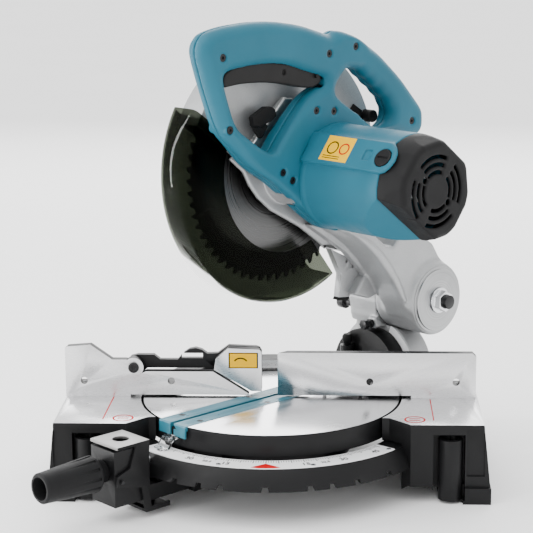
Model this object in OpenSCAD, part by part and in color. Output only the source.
// Compound mitre saw with a 255 mm blade: base, turntable, tilting arm and chopping head.
// The origin is on the turntable's axis at bench level, +X to the operator's right, +Y to the rear.

/* [Base] */
// Half the width of the base across its feet
foot_x = 238; // [236:1:240]
// Half the width of the side tables
table_x = 230; // [228:1:231]
// Height of the side tables above the bench
table_h = 87; // [86:0.5:88]
// Front edge of the side tables, measured forward from the mitre axis
table_front = 104; // [102:1:105]
// Rear edge of the side tables, measured back from the mitre axis
table_back = 62; // [60:1:64]
// Distance of each bench bolt from the mitre axis, across the saw
bolt_x = 222; // [220:1:224]
// Distance of each bench bolt from the mitre axis, front to back
bolt_y = 88; // [86:1:90]

/* [Turntable] */
// Mitre angle to the left at which the saw is drawn
mitre = 45; // [45]
// Radius of the turntable's top plate
plate_r = 143; // [142:0.5:144]
// Width of the pair of kerf boards
kerf_w = 43; // [41:1:45]

/* [Fence] */
// Height of the right fence's top edge
fence_top = 138.5; // [136:0.5:140]
// Thickness of the fence's face plate
fence_t = 10; // [9:0.5:11]

/* [Head] */
// Radius of the blade
blade_r = 127.5; // [126:0.5:128]
// Number of teeth on the blade
blade_teeth = 60; // [40, 60, 80]
// Outer radius of the see-through lower guard
guard_r = 149; // [148:0.5:150]
// Outer radius of the upper blade case
case_r = 137; // [136:0.5:138]
// Thickness of the handle across both halves
handle_t = 31; // [30:1:31]
// Radius of the motor housing
motor_r = 57; // [56:0.5:58]
// Wall of the moulded shells
shell = 3.5; // [3:0.5:4]

/* [Gears] */
// Teeth on the gear that drives the blade
gear_teeth = 42; // [42]
// Teeth on the motor's pinion
pinion_teeth = 8; // [8]

/* [Hidden] */

$fn = 96;
fit = 0.05;                      // radial clearance of a running fit
gap = 0.4;                       // clearance between faces that move past each other

// Places in the turntable's own frame: x across the blade, y towards the rear, z up.
blade_y = 8;
blade_z = 347;
motor_y = 42;
motor_z = 340;
pivot_y = 195;
pivot_z = 178;
pivot_r = 42;                    // outside of the head's pivot barrel
bevel_r = 60;                    // tilting arm's round flange
boss_r = 50;                     // turntable's round rear boss
hinge_x = -154;                  // sub-fence hinge
hinge_z = 121;
fence_y = -5;                    // front face of the fence
fence_low = 89.5;                // underside of the fence over the turntable
rim_gap = 3;                     // gap between the turntable and the tables
skirt_r = 172;                   // outer edge of the mitre scale
skirt_low_r = 184;               // outer edge of the skirt's bottom
skirt_low_z = 39;
scale_z = 60;
grip_z = 56;
lever_y = -232;                  // lock lever's pin
lever_z = 48;
lever_pin_r = 1.9;
stop_x = 7;                      // upright stop bolt
knob_x = -22;                    // bevel stop pull-knob
knob_y = 143;
mid_x = 46.5;                    // parting plane of the handle
face_x = mid_x + handle_t / 2;   // handle's outer face
back_x = mid_x - handle_t / 2;
motor_x0 = face_x;
motor_x1 = 175;
motor_x2 = 206;
stator_x1 = 119;
panel_a = 142;                   // direction of the motor's raised flat panel
brush_x = 174;                   // brush holder at the panel's round end
panel_r = 60;
panel_w = 17;
notch_angles = [0, 15, 22.5, 31.6, 45];
screw_places = [[-119, 478], [31, 472], [71, 477], [161, 388], [12, 413], [38, 410], [-110, 404],
    [-37, 352], [40, 293]];
case_screw = [-23, 342];         // handle screw that goes into the gear case
gear_x0 = 28;
gear_x1 = 42;
lock_x = 25.5;                   // shaft lock button
case_w = 16;                     // half-width of the upper blade case
guard_w = 20;                    // half-width of the lower guard

function polar(c, r, a) = [c[0] + r * cos(a), c[1] + r * sin(a)];
function arc(c, r, a0, a1, n = 24) = [for (i = [0:n]) polar(c, r, a0 + (a1 - a0) * i / n)];

module turned() { rotate([0, 0, -mitre]) children(); }
module side(x0, x1) { translate([x0, 0, 0]) rotate([90, 0, 90]) linear_extrude(x1 - x0) children(); }
module front(y0, y1) { translate([0, y1, 0]) rotate([90, 0, 0]) linear_extrude(y1 - y0) children(); }
module xcyl(r, x0, x1, y, z) { translate([x0, y, z]) rotate([0, 90, 0]) cylinder(r = r, h = x1 - x0); }
module ycyl(r, y0, y1, x, z) { translate([x, y0, z]) rotate([-90, 0, 0]) cylinder(r = r, h = y1 - y0); }
module zcyl(r, z0, z1, x, y) { translate([x, y, z0]) cylinder(r = r, h = z1 - z0); }
module block(a, b) { translate(a) cube(b - a); }
module both() { children(); mirror([1, 0, 0]) children(); }
module disc_ring(r0, r1, z0, z1) {
    difference() { zcyl(r1, z0, z1, 0, 0); zcyl(r0, z0 - 1, z1 + 1, 0, 0); }
}

// A round wire wound about the x axis, as a closed tube.
module coil(r, wire, x0, x1, y, z, turns, sides = 8, steps = 18) {
    n = turns * steps;
    pts = [for (i = [0:n], k = [0:sides - 1])
        let (a = 360 * i / steps, b = 360 * k / sides, q = r + wire * cos(b))
        [x0 + (x1 - x0) * i / n + wire * sin(b), y + q * cos(a), z + q * sin(a)]];
    walls = [for (i = [0:n - 1], k = [0:sides - 1])
        let (p = i * sides, q = p + sides, m = (k + 1) % sides) [p + k, q + k, q + m, p + m]];
    ends = [[for (k = [0:sides - 1]) k], [for (k = [sides - 1:-1:0]) n * sides + k]];
    polyhedron(pts, concat(walls, ends), convexity = 8);
}

// ---------------------------------------------------------------- base and fence
block_front = [[143, 12], [150, 18], [170, 18], [181, 12], [183, 4], [190, 2], [207, 2], [208, 0],
    [foot_x, 0], [foot_x - 1, 20], [table_x, table_h], [122, table_h], [122, 62], [143, 62]];
block_plan = [[152, -table_front], [foot_x, -table_front], [foot_x, table_back], [122, table_back],
    [122, -80], [130, -80]];

module side_block() {
    difference() {
        union() {
            intersection() {
                front(-table_front, table_back) polygon(block_front);
                linear_extrude(table_h) polygon(block_plan);
            }
            zcyl(13, 3, 70, 195, -96);
            block([208, -109, 0], [foot_x, -78, 18]);
            block([208, 60, 0], [foot_x, 105, 18]);
        }
        zcyl(plate_r + rim_gap, 0, 100, 0, 0);
        // hollow from below, between the foot pads
        block([150, -94, -1], [174, 54, 79]);
        block([173, -82, -1], [213, 54, 79]);
        block([212, -94, -1], [226, 54, 79]);
        block([207, -110, 18.01], [240, -table_front, 90]);
        // recessed panels in the front face
        difference() {
            block([176, -110, 4], [210, -88, 76]);
            zcyl(13, 3, 70, 195, -96);
        }
        block([212, -110, 30], [231, -101.5, 82]);
        zcyl(8, 12, 76, 195, -96);
        zcyl(5, -1, 19, bolt_x, -bolt_y);
        zcyl(5, -1, 19, bolt_x, bolt_y);
    }
    // foot pad inside the hollow
    difference() {
        block([208, -94.5, 0], [227, -78, 18]);
        zcyl(5, -1, 19, bolt_x, -bolt_y);
    }
}
module base() {
    color("#1d1e20") difference() {
        union() {
            both() side_block();
            // pan under the turntable, its centre hub and the ledge the turntable slides on
            difference() {
                zcyl(148, 30, 58, 0, 0);
                zcyl(142, 38, 59, 0, 0);
            }
            disc_ring(70, 88, 37, 56);
            zcyl(28, 20, 56, 0, 0);
            // skirt that carries the scale
            difference() {
                rotate_extrude() polygon([[146, 46], [146, scale_z], [skirt_r, scale_z],
                    [skirt_low_r, skirt_low_z], [skirt_low_r - 6, skirt_low_z], [166, 54], [152, 54]]);
                block([-200, -60, 0], [200, 200, 100]);
                block([-200, -110, 0], [-150, 0, 100]);
                block([150, -110, 0], [200, 0, 100]);
            }
        }
        // sweep of the turntable's front beam
        difference() {
            disc_ring(89, 142, 10, 44);
            block([-200, 40, 0], [200, 200, 100]);
        }
        difference() {
            disc_ring(141, 200, 0, 37);
            both() block([143, -120, -1], [240, 200, 100]);
            block([-200, 40, 0], [200, 200, 100]);
        }
        zcyl(8 + fit, 0, 100, 0, 0);
        // detent notches in the skirt's bottom edge
        for (a = notch_angles, s = [-1, 1]) rotate([0, 0, s * a]) translate([0, -skirt_low_r + 3, skirt_low_z])
            front(-8, 8) polygon([[-4, -1], [4, -1], [2.8, 4.5], [-2.8, 4.5]]);
        fence_bolt_places() zcyl(4, 60, 100, 0, 0);
        for (a = [-50, -17, 17, 50]) rotate([0, 0, a]) zcyl(1.5, 56, 61, 0, -skirt_r + 4);
    }
}
module fence_bolt_places() { for (x = [-212, -170, 170, 212]) translate([x, 20, 0]) children(); }

// Guide fence: one casting, its two faces joined behind the blade.
left_face = [[-231, table_h], [-231, 142], [-228, 145], [-202, 147], [-178, 130], [-162, 130],
    [-146, 114], [-140, 116.5], [-65, 116.5], [-25, 91], [-25, fence_low], [-158, fence_low],
    [-158, table_h]];
right_face = [[6, fence_low], [6, fence_top - 3], [9, fence_top], [224, fence_top], [228, fence_top - 4],
    [228, table_h], [156, table_h], [156, fence_low]];
module fence() {
    color("#c9cbcc") difference() {
        union() {
            front(fence_y, fence_y + fence_t) { polygon(left_face); polygon(right_face); }
            ycyl(11, fence_y, fence_y + fence_t, hinge_x, hinge_z);
            block([-231, fence_y + fence_t, table_h], [-158, 38, 95]);
            block([156, fence_y + fence_t, table_h], [228, 38, 95]);
            // low bridge behind the blade
            difference() {
                disc_ring(108, 134, fence_low, 99);
                block([-200, -200, 0], [200, 8, 200]);
            }
            block([-160, fence_y + fence_t, fence_low], [-110, 20, 99]);
            block([110, fence_y + fence_t, fence_low], [160, 20, 99]);
            // stiffening ribs
            for (x = [-190, 60, 100, 190]) front_rib(x);
        }
        // opening for the blade at every mitre angle
        linear_extrude(200) polygon([[6, fence_y - 1], [-10, fence_y - 1], [-30, 12], [26, 12]]);
        ycyl(3 + fit, -10, 20, hinge_x, hinge_z);
        for (x = [-210, -112, 110, 206]) ycyl(4, -20, 30, x, 105.5);
        fence_bolt_places() { zcyl(4, 80, 100, 0, 0); zcyl(7, 91, 100, 0, 0); }
    }
}
module front_rib(x) {
    translate([x - 2, 0, 0]) rotate([90, 0, 90]) linear_extrude(4)
        polygon([[4, abs(x) > 150 ? 95 : fence_low], [4, 128], [8, 128], [abs(x) > 150 ? 34 : 18,
            abs(x) > 150 ? 95 : fence_low]]);
}
module fence_bolts() {
    color("#2b2b2d") fence_bolt_places() difference() {
        union() { zcyl(3.9, 66, 92, 0, 0); zcyl(6.6, 91, 97, 0, 0); }
        translate([0, 0, 94]) cylinder(r = 3.4, h = 5, $fn = 6);
    }
}
module mitre_scale() {
    color("white") difference() {
        translate([0, 0, scale_z]) rotate([0, 0, -142]) rotate_extrude(angle = 104)
            polygon([[147, 0], [147, 1], [skirt_r - 0.5, 1], [skirt_r - 0.5, 0]]);
        for (a = [-50, -17, 17, 50]) rotate([0, 0, a]) zcyl(1.6, 50, 70, 0, -skirt_r + 4);
    }
}
module scale_screws() {
    color("#9a9c9e") for (a = [-50, -17, 17, 50]) rotate([0, 0, a]) {
        zcyl(1.45, 56, 61.2, 0, -skirt_r + 4);
        zcyl(2.6, 61, 62, 0, -skirt_r + 4);
    }
}
sub_top = [[-161, 127], [-158, 131], [-150, 133], [-132, 133], [-125, 127.5], [-105, 127.5], [-100, 134],
    [-92, 139.5], [-85, 141], [-78, 139], [-72, 134.5], [-60, 135], [-48, 144], [-13, 142.5], [-10.5, 139]];
sub_low = [[-10.5, 94], [-23, 93.5], [-64, 118], [-139, 118], [-147, 112], [-155, 111.5], [-162, 116]];
module sub_fence() {
    color("#1c1c1e") difference() {
        front(fence_y + fence_t + gap, fence_y + fence_t + 8) polygon(concat(sub_top, sub_low));
        ycyl(3 + fit, 0, 20, hinge_x, hinge_z);
        linear_extrude(200) polygon([[0, -10], [-8, 4], [-24, 20], [0, 20]]);
        block([-101, 0, 129], [-77, 20, 135]);
    }
    color("#c9cbcc") difference() {
        front(fence_y, fence_y + fence_t + gap) polygon([[-64, 118.5], [-62, 131], [-48, 143.5], [-13, 142],
            [-10.5, 139], [-10.5, 94], [-22.5, 94]]);
        linear_extrude(200) polygon([[0, -10], [-9, -5], [-24, 20], [0, 20]]);
    }
}
module sub_fence_screw() {
    color("#3a3a3c") {
        ycyl(3, fence_y + 1, 14, hinge_x, hinge_z);
        difference() {
            ycyl(6, fence_y - 2.6, fence_y - 0.2, hinge_x, hinge_z);
            ycyl(2.6, fence_y - 3, fence_y - 1.4, hinge_x, hinge_z);
        }
        ycyl(3, fence_y - 0.3, fence_y + 1.1, hinge_x, hinge_z);
        ycyl(6, fence_y + fence_t + 8.4, fence_y + fence_t + 12, hinge_x, hinge_z);
    }
}

// ---------------------------------------------------------------- turntable
module turntable() {
    color("#1d1e20") turned() difference() {
        union() {
            difference() {
                zcyl(plate_r, 63, table_h, 0, 0);
                zcyl(plate_r - 6, 50, table_h - 7, 0, 0);
            }
            disc_ring(72, 86, 56.2, 81);
            zcyl(26, 56.2, 81, 0, 0);
            for (a = [0:45:315]) rotate([0, 0, a]) block([20, -2.5, 64], [plate_r - 3, 2.5, 81]);
            // post and beam that reach out under the skirt to the front housing
            block([-24, -135, 14], [24, -95, 64]);
            block([-19, -200, 17], [19, -96, 34]);
            block([-19.5, -238, 20], [19.5, -192, 80]);
            block([-19.5, -200, 14], [19.5, -192, 40]);
            // neck and round boss at the rear
            block([-44, 120, 63], [44, 152, table_h - 1]);
            ycyl(boss_r, 150, 170, 0, table_h);
            zcyl(8.5, 80, 116, knob_x, knob_y);
        }
        // seat for the kerf boards and the slot below them
        block([-kerf_w / 2 - 0.2, -150, table_h - 5], [kerf_w / 2 + 0.2, 120, 100]);
        block([-9, -132, 64], [17, -28, 100]);
        block([-9, -29, 68.2], [17, 112, 100]);
        zcyl(8 + fit, 40, 100, 0, 0);
        zcyl(14, 62, 100, 0, 0);
        ycyl(8 + fit, 100, 180, 0, table_h);
        ycyl(14.5, 120, 150.5, 0, table_h);
        block([-46, 118, 60], [46, 149, 66]);
        // clearance for the lock lever's tooth, rod and hinge pin
        block([-6, -188, 10], [6, -168, 60]);
        ycyl(5 + fit, -240, -190, 0, grip_z);
        xcyl(lever_pin_r + fit, -30, 30, lever_y, lever_z);
        both() for (p = kerf_places) zcyl(2, 70, 90, p[0], p[1]);
        zcyl(4 + fit, 90, 118, knob_x, knob_y);
    }
}
kerf_places = [[15, -118], [15, -20], [15, 100]];
kerf_gap = 2.6;                  // half of the slot between the kerf boards
module kerf_board(undercut = 0) {
    difference() {
        union() {
            block([kerf_gap, -143.2, table_h - 4.8], [kerf_w / 2, 119, table_h + 0.3]);
            block([kerf_gap, -145, table_h - 13], [kerf_w / 2, -143.1, table_h + 0.3]);
        }
        translate([0, -145.2, table_h + 0.3]) rotate([0, 90, 0]) cylinder(r = 1.5, h = 40, $fn = 4);
        // room for the tilted blade below the right board's edge
        front(-150, 130) polygon([[0, table_h - 0.7], [kerf_gap, table_h - 0.7],
            [kerf_gap + undercut, table_h - 6], [0, table_h - 6]]);
        for (p = kerf_places) {
            zcyl(2, 70, 90, p[0], p[1]);
            zcyl(3.6, table_h - 2, 90, p[0], p[1]);
        }
    }
}
module kerf_board_right() { color("#3f8297") turned() kerf_board(5.5); }
module kerf_board_left() { color("#3f8297") turned() mirror([1, 0, 0]) kerf_board(); }
module kerf_screws() {
    color("#222224") turned() both() for (p = kerf_places) difference() {
        union() {
            zcyl(1.95, table_h - 6, table_h - 1, p[0], p[1]);
            zcyl(3.5, table_h - 1.9, table_h + 0.1, p[0], p[1]);
        }
        block([p[0] - 3, p[1] - 0.4, table_h - 0.7], [p[0] + 3, p[1] + 0.4, 90]);
    }
}
module pointer() {
    color("#d8dde0") turned() difference() {
        side(-9, 9) polygon([[-163, 62], [-163, 63.5], [-158, 64], [-152, 73], [-143.1, 73.5], [-143.1, 71],
            [-150, 70.5], [-156, 61.8]]);
        for (x = [-6.5, 2.5]) block([x, -152, 60], [x + 4, -147, 90]);
    }
}
module centre_bolt() {
    color("#8d8f92") turned() {
        zcyl(8, 14, 64, 0, 0);
        zcyl(13, 62, 68, 0, 0);
        zcyl(13, 12, 19.6, 0, 0);
    }
}
module bevel_scale() {
    color("white") turned() translate([0, 172, table_h]) rotate([90, 0, 0]) rotate([0, 0, 12])
        rotate_extrude(angle = 56) translate([boss_r + 0.5, 0]) square([8, 1.2]);
}
module lever_pin() { color("#8d8f92") turned() xcyl(lever_pin_r, -26, 26, lever_y, lever_z); }
module lock_lever() {
    color("#b9babb") turned() difference() {
        union() {
            block([-23, -236, 82.5], [23, -194, 85.5]);
            for (x = [-23, 20]) side(x, x + 3) polygon([[-237, 43], [-237, 54], [-220, 60], [-212, 83],
                [-194, 83], [-197, 40], [-193, 12], [-168, 12], [-168, 7], [-200, 7], [-206, 36]]);
            block([-23, -200, 7], [23, -168, 10]);
            side(-2.6, 2.6) polygon([[-184, 9], [-184, 38.4], [-178.5, 38.4], [-172, 30], [-172, 9]]);
        }
        zcyl(9, 80, 90, 0, -214);
        xcyl(lever_pin_r + fit, -30, 30, lever_y, lever_z);
    }
}
module mitre_grip() {
    color("#151516") turned() difference() {
        translate([0, -318, grip_z]) rotate([-90, 0, 0]) rotate_extrude() polygon([[0, 0], [14.5, 0],
            [16, 1.5], [16.3, 8], [19.5, 62], [19.5, 66], [18, 68], [16, 69], [12, 76], [12, 79], [0, 79]]);
        ycyl(12, -319, -272, 0, grip_z);
        ycyl(5, -264, -238, 0, grip_z);
        for (a = [0:30:330]) translate([0, 0, grip_z]) rotate([0, a, 0])
            ycyl(1.6, -310, -254, 19.5, 0);
    }
}
module grip_rod() { color("#8d8f92") turned() ycyl(5, -264, -179, 0, grip_z); }
module pull_knob() {
    color("#151516") turned() {
        zcyl(4, 92, 119, knob_x, knob_y);
        translate([knob_x, knob_y, 117]) rotate_extrude()
            polygon([[0, 0], [4, 0], [6.2, 4], [6.2, 9], [4.5, 12], [0, 12]]);
    }
}

// ---------------------------------------------------------------- tilting arm
module arm() {
    color("#b4b6b8") turned() difference() {
        union() {
            ycyl(bevel_r, 172, 203, 0, table_h);
            side(-34, 11.5) polygon([[157.5, pivot_z], [160, 143], [172, 139], [172, 110], [203, 110],
                [233, pivot_z]]);
            xcyl(38, -34, 11.5, pivot_y, pivot_z);
            // lug for the upright stop bolt
            block([1, 153.5, 139.5], [14, 176, 152]);
        }
        xcyl(pivot_r + 1.2, 11.5, 80, pivot_y, pivot_z);
        ycyl(8 + fit, 165, 210, 0, table_h);
        ycyl(14, 196, 210, 0, table_h);
        xcyl(8 + fit, -40, 20, pivot_y, pivot_z);
        ycyl(3, 140, 180, stop_x, 145.5);
        xcyl(4 + fit, -40, 20, stopper[0], stopper[1]);
        side(-26, 40) difference() {
            circle_at(30, pivot_y, pivot_z);
            circle_at(13, pivot_y, pivot_z);
        }
    }
}
stopper = [164.3, 160.3];        // pin that holds the head down
module circle_at(r, y, z) { translate([y, z]) circle(r = r); }
module bevel_bolt() {
    color("#8d8f92") turned() {
        ycyl(8, 138, 222, 0, table_h);
        ycyl(13, 140, 149, 0, table_h);
    }
}
module bevel_lever() {
    color("#151516") turned() difference() {
        union() {
            ycyl(15, 206, 218, 0, table_h);
            front(208, 216) polygon([[0, 75], [60, 73], [66, 76], [66, 82], [60, 86], [0, 97]]);
        }
        ycyl(8 + fit, 200, 230, 0, table_h);
    }
}
module stop_bolt() {
    color("#1b1b1c") turned() {
        ycyl(2.95, 144, 174, stop_x, 145.5);
        translate([stop_x, 145, 145.5]) rotate([90, 0, 0]) cylinder(r = 6, h = 6, $fn = 6);
        translate([stop_x, 153.5, 145.5]) rotate([90, 0, 0]) cylinder(r = 5.5, h = 4, $fn = 6);
    }
}
module pivot_bolt() {
    color("#8d8f92") turned() {
        xcyl(8, -36, 92, pivot_y, pivot_z);
        xcyl(13, -42, -34, pivot_y, pivot_z);
    }
}
module pivot_nut() {
    color("#d0d2d4") turned() difference() {
        translate([75.4, pivot_y, pivot_z]) rotate([0, 90, 0]) union() {
            cylinder(r = 15, h = 2);
            translate([0, 0, 2]) cylinder(r = 12.5, h = 9, $fn = 6);
        }
        xcyl(8 + fit / 5, 70, 100, pivot_y, pivot_z);
    }
}
module stopper_pin() {
    color("#26272a") turned() {
        xcyl(4, -46, 11, stopper[0], stopper[1]);
        xcyl(8, -54, -44, stopper[0], stopper[1]);
    }
}

// ---------------------------------------------------------------- chopping head
web = [[44, 281.5], [85, 276], [124, 246], [140, 261], [189, 251], [214, 213], [234, 190], [160, 160],
    [142, 179], [131, 202], [117, 219], [104, 234], [88, 250], [67, 266], [49, 276]];
case_plate = [[-76, 366], [-57, 350], [-36, 319], [5, 291], [26, 279], [60, 254], [96, 250], [78, 300],
    [78, 385], [50, 412], [8, 431], [-4, 426], [-56, 380]];
module head_arm() {
    color("#b4b6b8") turned() difference() {
        union() {
            xcyl(pivot_r, 12, 72, pivot_y, pivot_z);
            side(30, 66) polygon(web);
            // plate beside the blade case, cut along the line that clears the work
            intersection() {
                side(16, 21) polygon(case_plate);
                work_side();
            }
            side(21, 30.2) polygon([[30, 282], [85, 290], [120, 262], [150, 200], [160, 170], [132, 196],
                [113, 218], [86, 244], [60, 262]]);
            // gear case inside the handle
            xcyl(38, 16, 60, blade_y, blade_z);
            xcyl(38, 16, 60, motor_y, motor_z);
            xcyl(28, 58, 62, motor_y, motor_z);
        }
        // gear case hollow, bearing seats and the motor shaft's way in
        xcyl(33, gear_x0 - 2, gear_x1 + 2, blade_y, blade_z);
        xcyl(12, gear_x0 - 2, gear_x1 + 2, motor_y, motor_z);
        xcyl(17.5, 10, gear_x0 - 1, blade_y, blade_z);
        xcyl(13, gear_x1 + 1, 54, blade_y, blade_z);
        xcyl(11, 50, 70, motor_y, motor_z);
        xcyl(8, 40, 70, motor_y, motor_z);
        xcyl(8, 20, 30, motor_y, motor_z);
        // pivot bore, spring chamber and the recess for the cap
        xcyl(8 + fit, 0, 80, pivot_y, pivot_z);
        xcyl(29, 11, 44, pivot_y, pivot_z);
        xcyl(36.2, 69, 80, pivot_y, pivot_z);
        // socket of the head's stopper pin, reached when the head is down
        xcyl(4.3, 10, 16, stopper_socket[0], stopper_socket[1]);
        ycyl(4 + fit, 55, 100, lock_x, 335);
        // screw that holds the handle to the gear case
        xcyl(2, 44.5, 61, case_screw[0], case_screw[1]);
        xcyl(4.2, face_x - 5, 61, case_screw[0], case_screw[1]);
    }
}
// The stopper pin's place, turned back by the full chop into the raised head's frame.
chop = 38;
stopper_socket = let (dy = stopper[0] - pivot_y, dz = stopper[1] - pivot_z)
    [pivot_y + dy * cos(chop) + dz * sin(chop), pivot_z - dy * sin(chop) + dz * cos(chop)];
// Half-space above the line that is level with the table when the head is down.
module work_side(drop = 50) {
    translate([0, blade_y, blade_z]) rotate([-chop, 0, 0]) block([-300, -300, -drop], [300, 300, 300]);
}
module pivot_cap() {
    color("#a9abad") turned() difference() {
        union() {
            xcyl(36, 69.1, 75, pivot_y, pivot_z);
            xcyl(39, 72.1, 73, pivot_y, pivot_z);
        }
        xcyl(8 + fit, 60, 80, pivot_y, pivot_z);
    }
}
module torsion_spring() { color("#7c7e80") turned() coil(21, 2.4, 15, 40, pivot_y, pivot_z, 4); }
module rear_skirt() {
    color("#b4b6b8") turned() difference() {
        side(12, 21) polygon([[73, 248], [95, 237], [119, 219], [132, 208], [125, 208], [107, 192],
            [102, 188], [86, 190], [90, 216]]);
        for (p = [[98, 230], [108, 222.5]]) xcyl(2, 0, 40, p[0], p[1]);
    }
}
module blade_case() {
    c = [blade_y, blade_z];
    color("#b4b6b8") turned() difference() {
        intersection() {
            xcyl(case_r, -case_w, case_w, c[0], c[1]);
            work_side(30);
        }
        xcyl(case_r - 3, -case_w + 3, case_w - 3, c[0], c[1]);
        xcyl(30, -case_w - 1, 0, c[0], c[1]);
        xcyl(26, 0, case_w + 1, c[0], c[1]);
        ycyl(12, 120, 150, 0, 345);
    }
}
module centre_cover() {
    color("#9da0a2") turned() difference() {
        union() {
            xcyl(29.8, -case_w + 0.1, -case_w + 3, blade_y, blade_z);
            xcyl(27, -guard_w - 2, -case_w + 0.2, blade_y, blade_z);
            xcyl(33, -guard_w - 3.5, -guard_w - 0.8, blade_y, blade_z);
        }
        xcyl(23, -case_w - 3.5, 0, blade_y, blade_z);
        xcyl(4, -40, 0, blade_y, blade_z);
    }
}
module dust_nozzle() {
    color("#151516") turned() difference() {
        union() { ycyl(15.5, 139, 150, 0, 345); ycyl(18, 148, 188, 0, 345); ycyl(15.5, 147, 152, 0, 345); }
        ycyl(12, 138, 190, 0, 345);
        ycyl(15, 152, 190, 0, 345);
        xcyl(case_r + 0.1, -30, 30, blade_y, blade_z);
    }
}
module guard_bumper() {
    color("#151516") turned() {
        xcyl(7, 16, 29, 132, 393);
        side(16, 17.4) polygon([[126, 399], [112, 408], [107, 402], [124, 389]]);
        side(12, 21) polygon([[86, 190], [102, 188], [100, 184], [84, 187]]);
    }
}
module lever_bracket() {
    color("#c3c5c6") turned() side(21, 26) polygon([[-54, 379], [-46, 381], [-2, 424],
        [8, 424], [16, 419], [13, 408], [-23, 375], [-37, 369]]);
}
module guard_lever() {
    color("#151516") turned() difference() {
        side(26.4, 30.6) polygon([[-52, 408], [-44, 417], [-22, 418], [-19, 409], [-30, 403], [-30, 396],
            [-40, 386], [-46, 391], [-42, 398]]);
        xcyl(2 + fit, 0, 40, -36, 398);
    }
}
guard_arc = [149.6, 299];
guard_wall = 2;
module lower_guard() {
    c = [blade_y, blade_z];
    color([0.15, 0.17, 0.15, 0.45]) turned() {
        difference() {
            side(-guard_w, guard_w) polygon(concat(arc(c, guard_r, guard_arc[0], guard_arc[1], 60),
                arc(c, 92, guard_arc[1] - 6, guard_arc[0] + 4, 40)));
            xcyl(guard_r - 3, -guard_w + guard_wall, guard_w - guard_wall, c[0], c[1]);
            xcyl(91.9, -30, 30, c[0], c[1]);
        }
        // hub ring on the far side, and the sector that joins it to the rim
        difference() {
            side(-guard_w, -guard_w + guard_wall) polygon(concat(arc(c, 93, 165, 290, 40), arc(c, 33, 290, 165, 20)));
            xcyl(27 + fit, -30, 30, c[0], c[1]);
        }
        difference() {
            xcyl(34, -guard_w, -guard_w + guard_wall, c[0], c[1]);
            xcyl(27 + fit, -30, 30, c[0], c[1]);
        }
    }
}
module spindle() {
    color("#8d8f92") turned() difference() {
        union() {
            xcyl(10, -1.3, 27, blade_y, blade_z);
            xcyl(8, 26, 52, blade_y, blade_z);
            xcyl(15, -1.3, 1.3, blade_y, blade_z);
        }
        xcyl(4, -2, 12, blade_y, blade_z);
    }
}
module gear_2d(n, module_mm, twist = 0) {
    r = n * module_mm / 2;
    p = 360 / n;
    polygon([for (i = [0:n - 1]) for (k = [[-0.25, -1.25], [-0.185, -0.1], [-0.09, 0.9], [0.09, 0.9],
        [0.185, -0.1], [0.25, -1.25]]) polar([0, 0], r + k[1] * module_mm, twist + (i + k[0]) * p)]);
}
gear_m = 2 * norm([motor_y - blade_y, motor_z - blade_z]) / (gear_teeth + pinion_teeth);
mesh_a = atan2(motor_z - blade_z, motor_y - blade_y);
module drive_gear() {
    color("#9c9ea0") turned() difference() {
        translate([0, blade_y, blade_z]) rotate([mesh_a, 0, 0]) side(gear_x0, gear_x1 - 1) gear_2d(gear_teeth, gear_m);
        xcyl(8 + 0.01, 0, 60, blade_y, blade_z);
        for (a = [0:60:300]) translate([0, blade_y, blade_z]) rotate([a, 0, 0]) xcyl(4.5, 0, 60, 18, 0);
    }
}
module blade_flanges() {
    color("#a9abad") turned() difference() {
        union() { xcyl(22, 1.3, 9, blade_y, blade_z); xcyl(22, -6, -1.3, blade_y, blade_z); }
        xcyl(10.01, 0, 20, blade_y, blade_z);
        xcyl(4.2, -20, 0, blade_y, blade_z);
    }
}
module blade() {
    pitch = 360 / blade_teeth;
    color("#c4c6c8") turned() difference() {
        translate([0, blade_y, blade_z]) side(-1.25, 1.25) polygon([for (i = [0:blade_teeth - 1])
            for (k = [[0, 0], [0.25, -1.2], [0.62, -7], [0.9, -7.5], [1, -5]])
                polar([0, 0], blade_r + k[1], (i + k[0]) * pitch)]);
        xcyl(15.01, -5, 5, blade_y, blade_z);
        for (a = [20:90:290]) translate([0, blade_y, blade_z]) rotate([a, 0, 0])
            block([-5, 98, -0.6], [5, 118, 0.6]);
    }
}
module blade_bolt() {
    color("#3a3b3d") turned() {
        xcyl(3.95, -7, 11, blade_y, blade_z);
        translate([-12, blade_y, blade_z]) rotate([0, 90, 0]) cylinder(r = 8, h = 6, $fn = 6);
    }
}
module shaft_lock() {
    color("#151516") turned() {
        ycyl(4, 62, 99, lock_x, 335);
        ycyl(4.9, 98, 106, lock_x, 335);
    }
}

// ---------------------------------------------------------------- handle and motor
grip_top = [[-117, 400], [-135, 447], [-146, 482], [-144, 493], [-135, 503], [-110, 508], [-75, 510.5],
    [-40, 509.5], [-5, 504], [25, 495], [38, 490.5], [48, 494], [58, 492], [100, 468], [140, 432],
    [160, 413], [176, 400], [179, 393], [179, 378], [172, 368]];
body_low = [[100, 388], [97, 360], [95, 320], [80, 292], [60, 279], [46, 277], [30, 283], [6, 297],
    [-44, 335], [-78, 360], [-99, 382]];
grip_window = [[-114, 461], [-113, 448], [-98, 405], [-75, 387], [-56, 374], [-46, 374], [-38, 385],
    [-12, 414], [5, 430], [26, 440], [24, 446], [0, 453], [-30, 463], [-60, 466], [-85, 465]];
carry_window = [[60, 452], [74, 450], [96, 430], [116, 413], [124, 402], [123, 390], [114, 384], [98, 388],
    [46, 424], [44, 434], [52, 444]];
gland_z = 362;
trigger_pivot = [16, 449];
trigger_slot = [[-116, 440], [-116, 476], [-60, 482], [0, 468], [28, 456], [26, 436]];
module outline() {
    difference() {
        polygon(concat(grip_top, body_low));
        polygon(grip_window);
        polygon(carry_window);
    }
}
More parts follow.
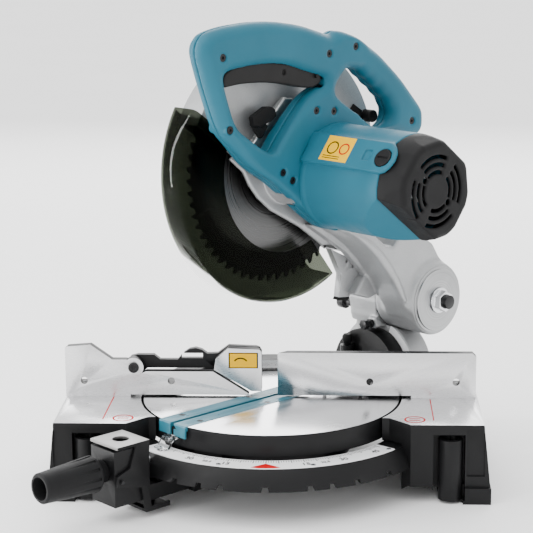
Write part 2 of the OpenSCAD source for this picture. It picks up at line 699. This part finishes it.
module handle_half(x0, x1, wall0, wall1) {
    difference() {
        union() {
            difference() {
                side(x0, x1) outline();
                side(wall0, wall1) offset(delta = -shell) outline();
            }
            intersection() {
                side(x0, x1) outline();
                for (p = concat(screw_places, [trigger_pivot, case_screw])) xcyl(5.5, x0, x1, p[0], p[1]);
            }
        }
        side(mid_x - 9.5, mid_x + 9.5) polygon(trigger_slot);
        xcyl(2 + fit / 5, mid_x - 12, mid_x + 12, trigger_pivot[0], trigger_pivot[1]);
        ycyl(7.05, 80, 110, mid_x, gland_z);
    }
}
module handle_left() {
    color("#3f8297") turned() difference() {
        handle_half(back_x, mid_x, back_x + shell, mid_x + 1);
        xcyl(38.2, 0, 100, blade_y, blade_z);
        xcyl(38.2, 0, 100, motor_y, motor_z);
        side(0, 100) polygon([[-20, 340], [0, 309.5], [50, 300], [60, 310], [40, 379], [0, 384.5]]);
        for (p = screw_places) xcyl(2, 40, mid_x + 1, p[0], p[1]);
        side(0, 66.2) offset(delta = 0.3) polygon(web);
    }
}
module handle_right() {
    color("#3f8297") turned() difference() {
        handle_half(mid_x, face_x, mid_x - 1, face_x - shell);
        xcyl(38.2, 0, 60.1, blade_y, blade_z);
        xcyl(38.2, 0, 60.1, motor_y, motor_z);
        side(0, 58.5) polygon([[-20, 340], [0, 309.5], [50, 300], [60, 310], [40, 379], [0, 384.5]]);
        xcyl(34, 50, 70, motor_y, motor_z);
        for (p = concat(screw_places, [case_screw])) {
            xcyl(2, 40, 70, p[0], p[1]);
            xcyl(4.2, face_x - 5, 70, p[0], p[1]);
        }
        side(0, 66.2) offset(delta = 0.3) polygon(web);
    }
}
module handle_screws() {
    color("#1b1b1c") turned() for (p = concat(screw_places, [case_screw])) difference() {
        union() {
            xcyl(1.95, p == case_screw ? 45 : 41, face_x - 4, p[0], p[1]);
            xcyl(4, face_x - 4.9, face_x - 1.6, p[0], p[1]);
        }
        xcyl(1.8, face_x - 3, face_x, p[0], p[1]);
    }
}
module trigger() {
    color("#151516") turned() difference() {
        side(mid_x - 8.8, mid_x + 8.8) polygon([[-113.5, 449], [-90, 450.5], [-50, 448], [-20, 442.5],
            [0, 437.5], [14, 437], [22, 444], [18, 454], [-20, 463], [-60, 468], [-100, 464], [-113, 459]]);
        xcyl(2 + fit, 0, 80, trigger_pivot[0], trigger_pivot[1]);
    }
}
module trigger_pin() {
    color("#8d8f92") turned() xcyl(2, mid_x - 11.5, mid_x + 11.5, trigger_pivot[0], trigger_pivot[1]);
}
module switch_body() {
    color("#2a2a2c") turned() side(mid_x - 9, mid_x + 9) polygon([[-70, 480], [-70, 504], [-20, 502], [-20, 480]]);
}
module motor_shell(r0, r1, x0, x1) {
    translate([x0, motor_y, motor_z]) rotate([0, 90, 0]) cylinder(r1 = r0, r2 = r1, h = x1 - x0);
}
module on_panel() { translate([0, motor_y, motor_z]) rotate([panel_a, 0, 0]) children(); }
module at_brush(r, low, high) {
    translate([brush_x, low, 0]) rotate([-90, 0, 0]) cylinder(r = r, h = high - low);
}
module motor_housing() {
    color("#3f8297") turned() difference() {
        union() {
            difference() {
                xcyl(motor_r, motor_x0, motor_x1, motor_y, motor_z);
                xcyl(motor_r - shell, motor_x0 + shell, motor_x1 - 6, motor_y, motor_z);
                xcyl(motor_r - 6, motor_x1 - 8, motor_x2, motor_y, motor_z);
            }
            // raised flat panel with a brush holder at its round end, and the holder opposite it
            difference() {
                on_panel() {
                    front(40, panel_r) polygon(concat([[motor_x0 + 0.5, -panel_w]],
                        arc([brush_x, 0], panel_w, -90, 90, 16), [[motor_x0 + 0.5, panel_w]]));
                    rotate([180, 0, 0]) at_brush(14, 40, panel_r);
                }
                xcyl(motor_r - shell + 1, 50, motor_x1 + 1, motor_y, motor_z);
                xcyl(motor_r + 0.3, motor_x1, motor_x2, motor_y, motor_z);
            }
        }
        xcyl(34, 60, motor_x0 + 5, motor_y, motor_z);
        on_panel() for (s = [0, 180]) rotate([s, 0, 0]) at_brush(10.05, 30, 70);
    }
}
module motor_cap() {
    color("#232325") turned() difference() {
        union() {
            motor_shell(motor_r, 53, motor_x1, motor_x2 - 8);
            motor_shell(53, 46, motor_x2 - 8, motor_x2);
        }
        difference() {
            motor_shell(motor_r - 4, 40, motor_x1 - 1, motor_x2 - 4);
            xcyl(15, 182, motor_x2, motor_y, motor_z);
            on_panel() for (s = [0, 180]) rotate([s, 0, 0]) at_brush(13, 36, motor_r - 2.2);
        }
        xcyl(11, 180, 193, motor_y, motor_z);
        for (r = [18, 26, 34], q = [0:3])
            translate([motor_x2 - 5, motor_y, motor_z]) rotate([90 * q + 72, 0, 0]) rotate([0, 90, 0])
                rotate_extrude(angle = 52) translate([r, 0]) square([4, 20]);
        on_panel() for (s = [0, 180]) rotate([s, 0, 0]) at_brush(10.05, 30, 70);
    }
}
module brush_caps() {
    color("#151516") turned() on_panel() for (s = [0, 180]) rotate([s, 0, 0]) difference() {
        at_brush(10, 40, panel_r + 0.6);
        at_brush(5, 39, 51);
        block([brush_x - 7, panel_r - 1, -1], [brush_x + 7, panel_r + 2, 1]);
    }
}
module carbon_brushes() {
    color("#3a3a3c") turned() on_panel() for (s = [0, 180]) rotate([s, 0, 0])
        block([brush_x - 5, 14.6, -3], [brush_x + 5, 39, 3]);
}
module stator() {
    color("#8a6a4a") turned() difference() {
        xcyl(motor_r - shell, 82, stator_x1, motor_y, motor_z);
        xcyl(27, 80, 130, motor_y, motor_z);
    }
}
module armature() {
    color("#9c9ea0") turned() {
        xcyl(5, gear_x1 - 0.8, 192, motor_y, motor_z);
        xcyl(4, 22, gear_x1 - 0.5, motor_y, motor_z);
        xcyl(26, 84, 122, motor_y, motor_z);
        xcyl(14, 164, 181, motor_y, motor_z);
        translate([0, motor_y, motor_z]) rotate([mesh_a, 0, 0]) side(gear_x0, gear_x1)
            gear_2d(pinion_teeth, gear_m, 180 + 180 / pinion_teeth);
    }
}
module cooling_fan() {
    color("#2a2a2c") turned() difference() {
        union() {
            xcyl(12, 68, 80, motor_y, motor_z);
            xcyl(44, 68, 70, motor_y, motor_z);
            for (a = [0:30:330]) translate([0, motor_y, motor_z]) rotate([a, 0, 0])
                block([69, 11, -0.8], [79, 43, 0.8]);
        }
        xcyl(5.01, 60, 90, motor_y, motor_z);
    }
}
module motor_bearings() {
    color("#9c9ea0") turned() {
        difference() { xcyl(11, 51, 60, motor_y, motor_z); xcyl(5 + fit, 40, 70, motor_y, motor_z); }
        difference() { xcyl(11, 182, 192, motor_y, motor_z); xcyl(5 + fit, 170, 200, motor_y, motor_z); }
    }
}
module spindle_bearings() {
    color("#9c9ea0") turned() {
        difference() { xcyl(17.5, 14, 25, blade_y, blade_z); xcyl(10 + fit, 0, 60, blade_y, blade_z); }
        difference() { xcyl(13, gear_x1 + 2, 52, blade_y, blade_z); xcyl(8 + fit, 0, 60, blade_y, blade_z); }
    }
}
module cord_gland() {
    color("#151516") turned() difference() {
        union() {
            ycyl(9, 98.6, 104, mid_x, gland_z);
            ycyl(7, 89, 99, mid_x, gland_z);
            ycyl(9, 88, 92.5, mid_x, gland_z);
        }
        ycyl(4, 80, 110, mid_x, gland_z);
    }
}

base();
fence();
fence_bolts();
mitre_scale();
scale_screws();
sub_fence();
sub_fence_screw();
turntable();
kerf_board_left();
kerf_board_right();
kerf_screws();
pointer();
centre_bolt();
bevel_scale();
lever_pin();
lock_lever();
mitre_grip();
grip_rod();
pull_knob();
arm();
bevel_bolt();
bevel_lever();
stop_bolt();
pivot_bolt();
pivot_nut();
stopper_pin();
head_arm();
pivot_cap();
torsion_spring();
rear_skirt();
blade_case();
centre_cover();
dust_nozzle();
guard_bumper();
lever_bracket();
guard_lever();
lower_guard();
spindle();
drive_gear();
blade_flanges();
blade();
blade_bolt();
shaft_lock();
handle_left();
handle_right();
handle_screws();
trigger();
trigger_pin();
switch_body();
motor_housing();
motor_cap();
brush_caps();
carbon_brushes();
stator();
armature();
cooling_fan();
motor_bearings();
spindle_bearings();
cord_gland();
